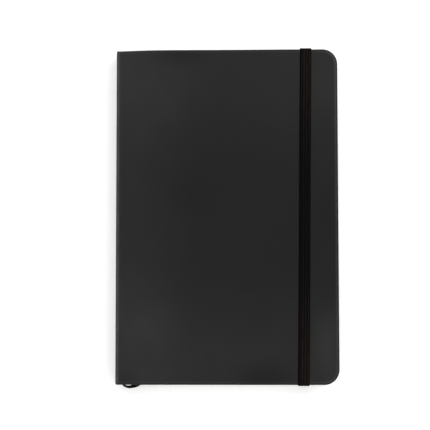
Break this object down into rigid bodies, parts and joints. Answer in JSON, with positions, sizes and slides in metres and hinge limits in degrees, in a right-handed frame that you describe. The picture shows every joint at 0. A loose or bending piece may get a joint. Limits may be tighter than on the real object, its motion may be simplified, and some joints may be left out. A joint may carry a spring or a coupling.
{
  "type": "sketchbook",
  "caption": "Thread-sewn pocket-width sketchbook with a rounded-corner soft-touch black cover, an elastic closure, a ribbon marker and an inner back pocket.",
  "frame": {"origin": "centre of the back cover's outer face, which the closed book lies on", "axes": "+X from the spine to the fore edge, +Y from the tail to the head, +Z out of the front cover"},
  "size_m": [0.1396, 0.2135, 0.0162],
  "materials": {
    "leatherette": "soft-touch matt black leatherette",
    "greyboard": "plain",
    "card": "plain",
    "paper": "ivory drawing paper, matt",
    "endpaper": "smooth ivory endpaper",
    "cloth": "thin cotton",
    "elastic": "ribbed woven elastic",
    "ribbon": "satin ribbon",
    "thread": "linen thread",
    "silk": "woven band"
  },
  "bodies": {
    "text_block": {"spine_skin": "leatherette", "spine_stiffener": "card", "spine_lining": "card", "mull": "cloth", "headband": "silk", "tailband": "silk", "signature_2": "paper", "signature_3": "paper", "signature_4": "paper", "signature_5": "paper", "signature_6": "paper", "signature_7": "paper", "back_flyleaf": "endpaper", "sewing_thread_1": "thread", "sewing_thread_2": "thread", "sewing_thread_3": "thread", "sewing_thread_4": "thread", "sewing_thread_5": "thread", "gutter_thread": "thread", "ribbon_marker": "ribbon"},
    "front_cover": {"front_cover_skin": "leatherette", "front_board": "greyboard", "front_pastedown": "endpaper"},
    "back_cover": {"back_cover_skin": "leatherette", "back_board": "greyboard", "back_pastedown": "endpaper", "pocket_gusset_head": "cloth", "pocket_gusset_tail": "cloth"},
    "pocket": {"pocket_panel": "endpaper"},
    "elastic": {"elastic_band": "elastic"},
    "front_flyleaf_turn": {"front_flyleaf": "endpaper"},
    "leaf_1_turn": {"leaf_1": "paper"},
    "leaf_2_turn": {"leaf_2": "paper"},
    "leaf_3_turn": {"leaf_3": "paper"},
    "leaf_4_turn": {"leaf_4": "paper"},
    "leaf_5_turn": {"leaf_5": "paper"},
    "leaf_6_turn": {"leaf_6": "paper"},
    "leaf_7_turn": {"leaf_7": "paper"},
    "leaf_8_turn": {"leaf_8": "paper"}
  },
  "joints": [
    {"name": "front_cover_hinge", "type": "hinge", "parent": "text_block", "child": "front_cover", "pos_m": [-0.06985, 0, 0.01315], "axis": [0, -1, 0], "range_deg": [0, 179.5]},
    {"name": "back_cover_hinge", "type": "hinge", "parent": "text_block", "child": "back_cover", "pos_m": [-0.06985, 0, 0.0024], "axis": [0, -1, 0], "range_deg": [-179, 0]},
    {"name": "front_flyleaf_hinge", "type": "hinge", "parent": "text_block", "child": "front_flyleaf_turn", "pos_m": [-0.06985, 0, 0.01315], "axis": [0, -1, 0], "range_deg": [0, 178.1]},
    {"name": "leaf_1_hinge", "type": "hinge", "parent": "text_block", "child": "leaf_1_turn", "pos_m": [-0.06985, 0, 0.01315], "axis": [0, -1, 0], "range_deg": [0, 176.6]},
    {"name": "leaf_2_hinge", "type": "hinge", "parent": "text_block", "child": "leaf_2_turn", "pos_m": [-0.06985, 0, 0.01315], "axis": [0, -1, 0], "range_deg": [0, 175]},
    {"name": "leaf_3_hinge", "type": "hinge", "parent": "text_block", "child": "leaf_3_turn", "pos_m": [-0.06985, 0, 0.01315], "axis": [0, -1, 0], "range_deg": [0, 173.2]},
    {"name": "leaf_4_hinge", "type": "hinge", "parent": "text_block", "child": "leaf_4_turn", "pos_m": [-0.06985, 0, 0.01315], "axis": [0, -1, 0], "range_deg": [0, 171.2]},
    {"name": "leaf_5_hinge", "type": "hinge", "parent": "text_block", "child": "leaf_5_turn", "pos_m": [-0.06985, 0, 0.01315], "axis": [0, -1, 0], "range_deg": [0, 8.4]},
    {"name": "leaf_6_hinge", "type": "hinge", "parent": "text_block", "child": "leaf_6_turn", "pos_m": [-0.06985, 0, 0.01315], "axis": [0, -1, 0], "range_deg": [0, 5.4]},
    {"name": "leaf_7_hinge", "type": "hinge", "parent": "text_block", "child": "leaf_7_turn", "pos_m": [-0.06985, 0, 0.01315], "axis": [0, -1, 0], "range_deg": [0, 3]},
    {"name": "leaf_8_hinge", "type": "hinge", "parent": "text_block", "child": "leaf_8_turn", "pos_m": [-0.06985, 0, 0.01315], "axis": [0, -1, 0], "range_deg": [0, 1.4]},
    {"name": "pocket_hinge", "type": "hinge", "parent": "back_cover", "child": "pocket", "pos_m": [0.06565, 0, 0.0029], "axis": [0, 1, 0], "range_deg": [0, 7]},
    {"name": "elastic_slide", "type": "slide", "parent": "back_cover", "child": "elastic", "axis": [0, 0, -1], "range_m": [0, 0.0165], "deforming": ["elastic_band"]}
  ],
  "couplings": [
    {"joint": "front_flyleaf_hinge", "follows": "front_cover_hinge", "ratio": 0.99},
    {"joint": "leaf_1_hinge", "follows": "front_cover_hinge", "ratio": 0.982},
    {"joint": "leaf_2_hinge", "follows": "front_cover_hinge", "ratio": 0.973},
    {"joint": "leaf_3_hinge", "follows": "front_cover_hinge", "ratio": 0.963},
    {"joint": "leaf_4_hinge", "follows": "front_cover_hinge", "ratio": 0.952},
    {"joint": "leaf_5_hinge", "follows": "front_cover_hinge", "ratio": 0.045},
    {"joint": "leaf_6_hinge", "follows": "front_cover_hinge", "ratio": 0.028},
    {"joint": "leaf_7_hinge", "follows": "front_cover_hinge", "ratio": 0.015},
    {"joint": "leaf_8_hinge", "follows": "front_cover_hinge", "ratio": 0.006},
    {"joint": "pocket_hinge", "follows": "back_cover_hinge", "ratio": -0.038},
    {"joint": "elastic_slide", "follows": "front_cover_hinge", "m_per_rad": 0.0052029}
  ]
}
